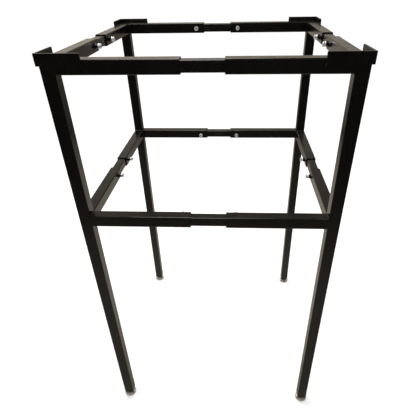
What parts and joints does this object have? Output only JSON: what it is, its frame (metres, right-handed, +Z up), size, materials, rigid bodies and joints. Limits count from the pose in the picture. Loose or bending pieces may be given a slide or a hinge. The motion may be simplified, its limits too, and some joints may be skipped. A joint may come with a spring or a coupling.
{
  "type": "adjustable equipment stand",
  "caption": "Open black steel stand on four legs, with telescoping top and middle rails, corner brackets that retain the load, clamp bolts and levelling glides.",
  "frame": {"origin": "on the floor, below the middle of the stand", "axes": "+Z up, +X to the right along the width, +Y to the back along the depth"},
  "size_m": [0.6996, 0.6836, 1.233],
  "materials": {
    "black_coated_outer_tube": "satin black powder coat on square steel tube",
    "black_coated_inner_tube": "satin black powder coat, rubbed where it slides",
    "black_coated_bar": "satin black powder coat on folded flat bar",
    "black_coated_nuts": "satin black powder coat over welded nuts",
    "zinc_plated_screws": "bright zinc plate",
    "zinc_plated_stems": "zinc plate on a rolled thread",
    "nickel_plated_feet": "bright nickel plate, lightly scuffed"
  },
  "bodies": {
    "front_left_corner": {"front_left_leg": "black_coated_outer_tube", "front_left_corner_bracket": "black_coated_bar", "front_left_top_depth_tube": "black_coated_outer_tube", "front_left_mid_depth_tube": "black_coated_outer_tube", "front_left_top_width_tube": "black_coated_outer_tube", "front_left_mid_width_tube": "black_coated_outer_tube", "front_left_weld_nuts": "black_coated_nuts"},
    "back_left_corner": {"back_left_leg": "black_coated_outer_tube", "back_left_corner_bracket": "black_coated_bar", "back_left_top_depth_tube": "black_coated_outer_tube", "back_left_mid_depth_tube": "black_coated_outer_tube", "back_left_top_width_tube": "black_coated_outer_tube", "back_left_mid_width_tube": "black_coated_outer_tube", "back_left_weld_nuts": "black_coated_nuts"},
    "front_right_corner": {"front_right_leg": "black_coated_outer_tube", "front_right_corner_bracket": "black_coated_bar", "front_right_top_depth_tube": "black_coated_outer_tube", "front_right_mid_depth_tube": "black_coated_outer_tube", "front_right_top_width_tube": "black_coated_outer_tube", "front_right_mid_width_tube": "black_coated_outer_tube", "front_right_weld_nuts": "black_coated_nuts"},
    "back_right_corner": {"back_right_leg": "black_coated_outer_tube", "back_right_corner_bracket": "black_coated_bar", "back_right_top_depth_tube": "black_coated_outer_tube", "back_right_mid_depth_tube": "black_coated_outer_tube", "back_right_top_width_tube": "black_coated_outer_tube", "back_right_mid_width_tube": "black_coated_outer_tube", "back_right_weld_nuts": "black_coated_nuts"},
    "front_top_inner": {"front_top_inner_tube": "black_coated_inner_tube"},
    "back_top_inner": {"back_top_inner_tube": "black_coated_inner_tube"},
    "left_top_inner": {"left_top_inner_tube": "black_coated_inner_tube"},
    "right_top_inner": {"right_top_inner_tube": "black_coated_inner_tube"},
    "front_mid_inner": {"front_mid_inner_tube": "black_coated_inner_tube"},
    "back_mid_inner": {"back_mid_inner_tube": "black_coated_inner_tube"},
    "left_mid_inner": {"left_mid_inner_tube": "black_coated_inner_tube"},
    "right_mid_inner": {"right_mid_inner_tube": "black_coated_inner_tube"},
    "front_left_top_width_clamp_bolt": {"front_left_top_width_clamp_bolt": "zinc_plated_screws"},
    "front_left_top_depth_clamp_bolt": {"front_left_top_depth_clamp_bolt": "zinc_plated_screws"},
    "front_left_mid_width_clamp_bolt": {"front_left_mid_width_clamp_bolt": "zinc_plated_screws"},
    "front_left_mid_depth_clamp_bolt": {"front_left_mid_depth_clamp_bolt": "zinc_plated_screws"},
    "front_left_glide_foot": {"front_left_glide_foot": "nickel_plated_feet"},
    "front_left_glide_stem": {"front_left_glide_stem": "zinc_plated_stems"},
    "back_left_top_width_clamp_bolt": {"back_left_top_width_clamp_bolt": "zinc_plated_screws"},
    "back_left_top_depth_clamp_bolt": {"back_left_top_depth_clamp_bolt": "zinc_plated_screws"},
    "back_left_mid_width_clamp_bolt": {"back_left_mid_width_clamp_bolt": "zinc_plated_screws"},
    "back_left_mid_depth_clamp_bolt": {"back_left_mid_depth_clamp_bolt": "zinc_plated_screws"},
    "back_left_glide_foot": {"back_left_glide_foot": "nickel_plated_feet"},
    "back_left_glide_stem": {"back_left_glide_stem": "zinc_plated_stems"},
    "front_right_top_width_clamp_bolt": {"front_right_top_width_clamp_bolt": "zinc_plated_screws"},
    "front_right_top_depth_clamp_bolt": {"front_right_top_depth_clamp_bolt": "zinc_plated_screws"},
    "front_right_mid_width_clamp_bolt": {"front_right_mid_width_clamp_bolt": "zinc_plated_screws"},
    "front_right_mid_depth_clamp_bolt": {"front_right_mid_depth_clamp_bolt": "zinc_plated_screws"},
    "front_right_glide_foot": {"front_right_glide_foot": "nickel_plated_feet"},
    "front_right_glide_stem": {"front_right_glide_stem": "zinc_plated_stems"},
    "back_right_top_width_clamp_bolt": {"back_right_top_width_clamp_bolt": "zinc_plated_screws"},
    "back_right_top_depth_clamp_bolt": {"back_right_top_depth_clamp_bolt": "zinc_plated_screws"},
    "back_right_mid_width_clamp_bolt": {"back_right_mid_width_clamp_bolt": "zinc_plated_screws"},
    "back_right_mid_depth_clamp_bolt": {"back_right_mid_depth_clamp_bolt": "zinc_plated_screws"},
    "back_right_glide_foot": {"back_right_glide_foot": "nickel_plated_feet"},
    "back_right_glide_stem": {"back_right_glide_stem": "zinc_plated_stems"}
  },
  "joints": [
    {"name": "width_slide", "type": "slide", "parent": "front_left_corner", "child": "front_right_corner", "axis": [1, 0, 0], "range_m": [-0.093, 0.306]},
    {"name": "depth_slide", "type": "slide", "parent": "front_left_corner", "child": "back_left_corner", "axis": [0, 1, 0], "range_m": [-0.077, 0.322]},
    {"name": "right_depth_slide", "type": "slide", "parent": "front_right_corner", "child": "back_right_corner", "axis": [0, 1, 0], "range_m": [-0.077, 0.322]},
    {"name": "front_top_inner_slide", "type": "slide", "parent": "front_left_corner", "child": "front_top_inner", "axis": [1, 0, 0], "range_m": [-0.0465, 0.153]},
    {"name": "back_top_inner_slide", "type": "slide", "parent": "back_left_corner", "child": "back_top_inner", "axis": [1, 0, 0], "range_m": [-0.0465, 0.153]},
    {"name": "left_top_inner_slide", "type": "slide", "parent": "front_left_corner", "child": "left_top_inner", "axis": [0, 1, 0], "range_m": [-0.0385, 0.161]},
    {"name": "right_top_inner_slide", "type": "slide", "parent": "front_right_corner", "child": "right_top_inner", "axis": [0, 1, 0], "range_m": [-0.0385, 0.161]},
    {"name": "front_mid_inner_slide", "type": "slide", "parent": "front_left_corner", "child": "front_mid_inner", "axis": [1, 0, 0], "range_m": [-0.0465, 0.153]},
    {"name": "back_mid_inner_slide", "type": "slide", "parent": "back_left_corner", "child": "back_mid_inner", "axis": [1, 0, 0], "range_m": [-0.0465, 0.153]},
    {"name": "left_mid_inner_slide", "type": "slide", "parent": "front_left_corner", "child": "left_mid_inner", "axis": [0, 1, 0], "range_m": [-0.0385, 0.161]},
    {"name": "right_mid_inner_slide", "type": "slide", "parent": "front_right_corner", "child": "right_mid_inner", "axis": [0, 1, 0], "range_m": [-0.0385, 0.161]},
    {"name": "front_left_top_width_bolt_turn", "type": "hinge", "parent": "front_left_corner", "child": "front_left_top_width_clamp_bolt", "pos_m": [-0.072, -0.30525, 1.20412], "axis": [0, 1, 0], "range_deg": [0, 720]},
    {"name": "front_left_top_depth_bolt_turn", "type": "hinge", "parent": "front_left_corner", "child": "front_left_top_depth_clamp_bolt", "pos_m": [-0.31325, -0.064, 1.20412], "axis": [1, 0, 0], "range_deg": [0, 720]},
    {"name": "front_left_mid_width_bolt_turn", "type": "hinge", "parent": "front_left_corner", "child": "front_left_mid_width_clamp_bolt", "pos_m": [-0.072, -0.30525, 0.81312], "axis": [0, 1, 0], "range_deg": [0, 720]},
    {"name": "front_left_mid_depth_bolt_turn", "type": "hinge", "parent": "front_left_corner", "child": "front_left_mid_depth_clamp_bolt", "pos_m": [-0.31325, -0.064, 0.81312], "axis": [1, 0, 0], "range_deg": [0, 720]},
    {"name": "front_left_glide_travel", "type": "slide", "parent": "front_left_corner", "child": "front_left_glide_foot", "axis": [0, 0, -1], "range_m": [0, 0.015]},
    {"name": "front_left_stem_turn", "type": "hinge", "parent": "front_left_glide_foot", "child": "front_left_glide_stem", "pos_m": [-0.32913, -0.32112, 0], "axis": [0, 0, 1], "range_deg": [0, 4320]},
    {"name": "back_left_top_width_bolt_turn", "type": "hinge", "parent": "back_left_corner", "child": "back_left_top_width_clamp_bolt", "pos_m": [-0.072, 0.30525, 1.20412], "axis": [0, -1, 0], "range_deg": [0, 720]},
    {"name": "back_left_top_depth_bolt_turn", "type": "hinge", "parent": "back_left_corner", "child": "back_left_top_depth_clamp_bolt", "pos_m": [-0.31325, 0.064, 1.20412], "axis": [1, 0, 0], "range_deg": [0, 720]},
    {"name": "back_left_mid_width_bolt_turn", "type": "hinge", "parent": "back_left_corner", "child": "back_left_mid_width_clamp_bolt", "pos_m": [-0.072, 0.30525, 0.81312], "axis": [0, -1, 0], "range_deg": [0, 720]},
    {"name": "back_left_mid_depth_bolt_turn", "type": "hinge", "parent": "back_left_corner", "child": "back_left_mid_depth_clamp_bolt", "pos_m": [-0.31325, 0.064, 0.81312], "axis": [1, 0, 0], "range_deg": [0, 720]},
    {"name": "back_left_glide_travel", "type": "slide", "parent": "back_left_corner", "child": "back_left_glide_foot", "axis": [0, 0, -1], "range_m": [0, 0.015]},
    {"name": "back_left_stem_turn", "type": "hinge", "parent": "back_left_glide_foot", "child": "back_left_glide_stem", "pos_m": [-0.32913, 0.32112, 0], "axis": [0, 0, 1], "range_deg": [0, 4320]},
    {"name": "front_right_top_width_bolt_turn", "type": "hinge", "parent": "front_right_corner", "child": "front_right_top_width_clamp_bolt", "pos_m": [0.072, -0.30525, 1.20412], "axis": [0, 1, 0], "range_deg": [0, 720]},
    {"name": "front_right_top_depth_bolt_turn", "type": "hinge", "parent": "front_right_corner", "child": "front_right_top_depth_clamp_bolt", "pos_m": [0.31325, -0.064, 1.20412], "axis": [-1, 0, 0], "range_deg": [0, 720]},
    {"name": "front_right_mid_width_bolt_turn", "type": "hinge", "parent": "front_right_corner", "child": "front_right_mid_width_clamp_bolt", "pos_m": [0.072, -0.30525, 0.81312], "axis": [0, 1, 0], "range_deg": [0, 720]},
    {"name": "front_right_mid_depth_bolt_turn", "type": "hinge", "parent": "front_right_corner", "child": "front_right_mid_depth_clamp_bolt", "pos_m": [0.31325, -0.064, 0.81312], "axis": [-1, 0, 0], "range_deg": [0, 720]},
    {"name": "front_right_glide_travel", "type": "slide", "parent": "front_right_corner", "child": "front_right_glide_foot", "axis": [0, 0, -1], "range_m": [0, 0.015]},
    {"name": "front_right_stem_turn", "type": "hinge", "parent": "front_right_glide_foot", "child": "front_right_glide_stem", "pos_m": [0.32913, -0.32112, 0], "axis": [0, 0, 1], "range_deg": [0, 4320]},
    {"name": "back_right_top_width_bolt_turn", "type": "hinge", "parent": "back_right_corner", "child": "back_right_top_width_clamp_bolt", "pos_m": [0.072, 0.30525, 1.20412], "axis": [0, -1, 0], "range_deg": [0, 720]},
    {"name": "back_right_top_depth_bolt_turn", "type": "hinge", "parent": "back_right_corner", "child": "back_right_top_depth_clamp_bolt", "pos_m": [0.31325, 0.064, 1.20412], "axis": [-1, 0, 0], "range_deg": [0, 720]},
    {"name": "back_right_mid_width_bolt_turn", "type": "hinge", "parent": "back_right_corner", "child": "back_right_mid_width_clamp_bolt", "pos_m": [0.072, 0.30525, 0.81312], "axis": [0, -1, 0], "range_deg": [0, 720]},
    {"name": "back_right_mid_depth_bolt_turn", "type": "hinge", "parent": "back_right_corner", "child": "back_right_mid_depth_clamp_bolt", "pos_m": [0.31325, 0.064, 0.81312], "axis": [-1, 0, 0], "range_deg": [0, 720]},
    {"name": "back_right_glide_travel", "type": "slide", "parent": "back_right_corner", "child": "back_right_glide_foot", "axis": [0, 0, -1], "range_m": [0, 0.015]},
    {"name": "back_right_stem_turn", "type": "hinge", "parent": "back_right_glide_foot", "child": "back_right_glide_stem", "pos_m": [0.32913, 0.32112, 0], "axis": [0, 0, 1], "range_deg": [0, 4320]}
  ],
  "couplings": [
    {"joint": "right_depth_slide", "follows": "depth_slide", "ratio": 1},
    {"joint": "front_top_inner_slide", "follows": "width_slide", "ratio": 0.5},
    {"joint": "back_top_inner_slide", "follows": "width_slide", "ratio": 0.5},
    {"joint": "left_top_inner_slide", "follows": "depth_slide", "ratio": 0.5},
    {"joint": "right_top_inner_slide", "follows": "depth_slide", "ratio": 0.5},
    {"joint": "front_mid_inner_slide", "follows": "width_slide", "ratio": 0.5},
    {"joint": "back_mid_inner_slide", "follows": "width_slide", "ratio": 0.5},
    {"joint": "left_mid_inner_slide", "follows": "depth_slide", "ratio": 0.5},
    {"joint": "right_mid_inner_slide", "follows": "depth_slide", "ratio": 0.5},
    {"joint": "front_left_stem_turn", "follows": "front_left_glide_travel", "rad_per_m": 5026.5},
    {"joint": "back_left_stem_turn", "follows": "back_left_glide_travel", "rad_per_m": 5026.5},
    {"joint": "front_right_stem_turn", "follows": "front_right_glide_travel", "rad_per_m": 5026.5},
    {"joint": "back_right_stem_turn", "follows": "back_right_glide_travel", "rad_per_m": 5026.5}
  ]
}
